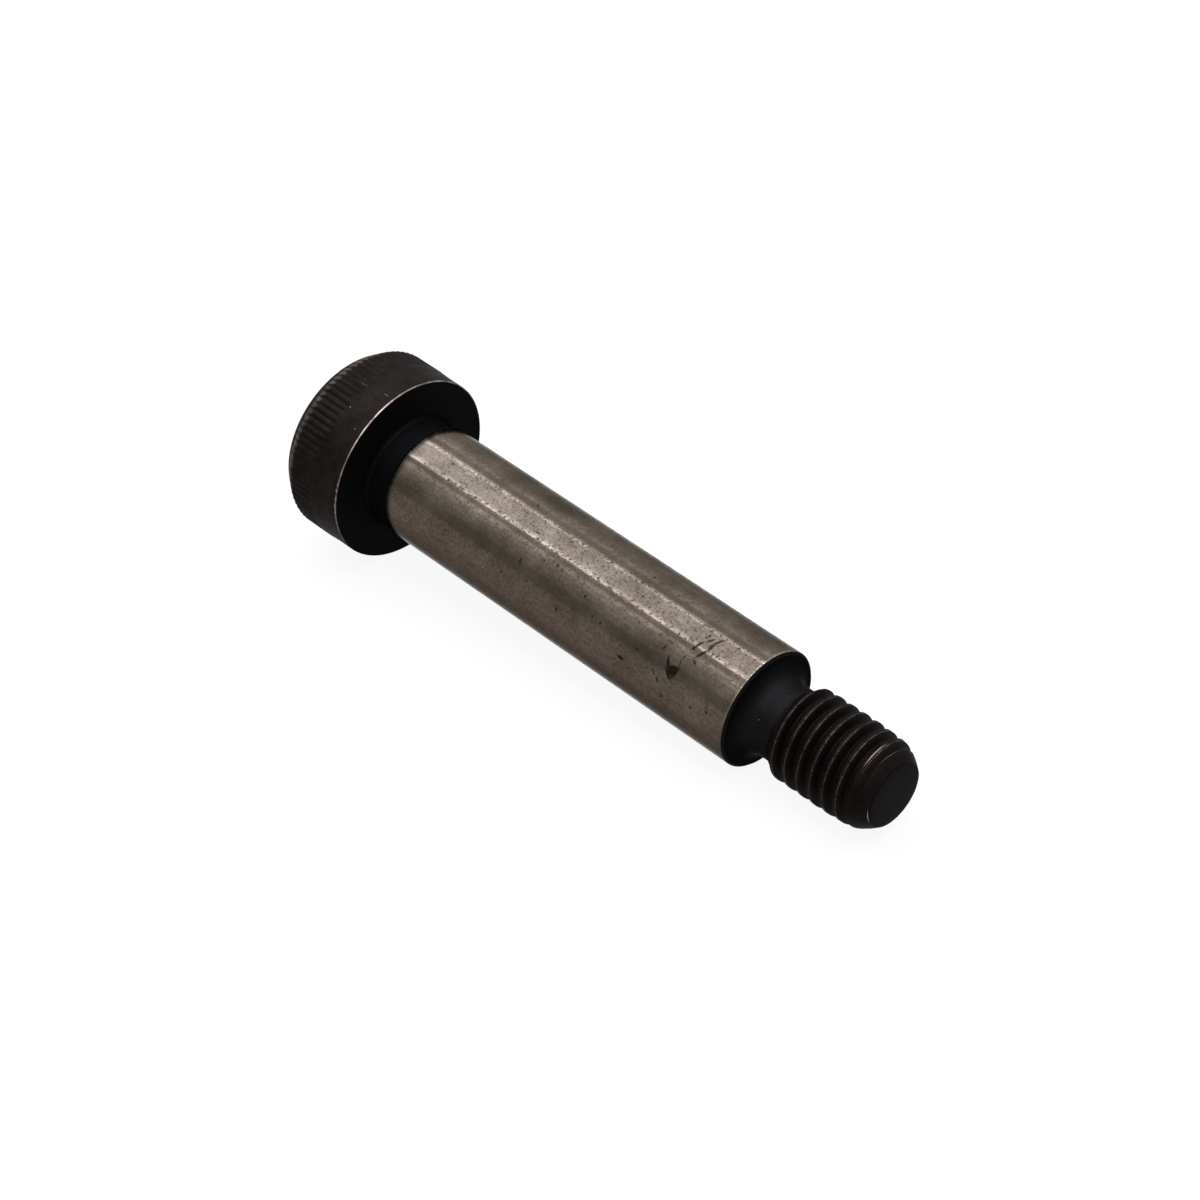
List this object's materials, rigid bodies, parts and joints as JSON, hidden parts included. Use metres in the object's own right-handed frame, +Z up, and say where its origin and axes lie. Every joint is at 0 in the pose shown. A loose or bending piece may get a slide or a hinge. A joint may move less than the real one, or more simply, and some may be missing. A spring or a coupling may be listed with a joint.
{
  "type": "centering screw",
  "caption": "Socket head shoulder screw lying on its side: knurled cylindrical head with a hexagon socket, long ground shoulder, relief groove and short right-hand thread.",
  "frame": {"origin": "on the screw's axis, at the middle of the bearing face under the head", "axes": "+Z up, square to the flat surface that the screw lies on. +X runs from the head towards the thread. The screw's own axis lies in the XZ plane and slopes down from +X by 4.3 degrees towards the thread, because the screw rests on the head's rim and on the end of its narrower shoulder."},
  "size_m": [0.0601, 0.016, 0.0164],
  "materials": {
    "steel": "hardened alloy steel: head, undercut, relief and thread black oxide, shoulder ground bright"
  },
  "bodies": {
    "root": {"centering_screw": "steel"}
  },
  "joints": []
}
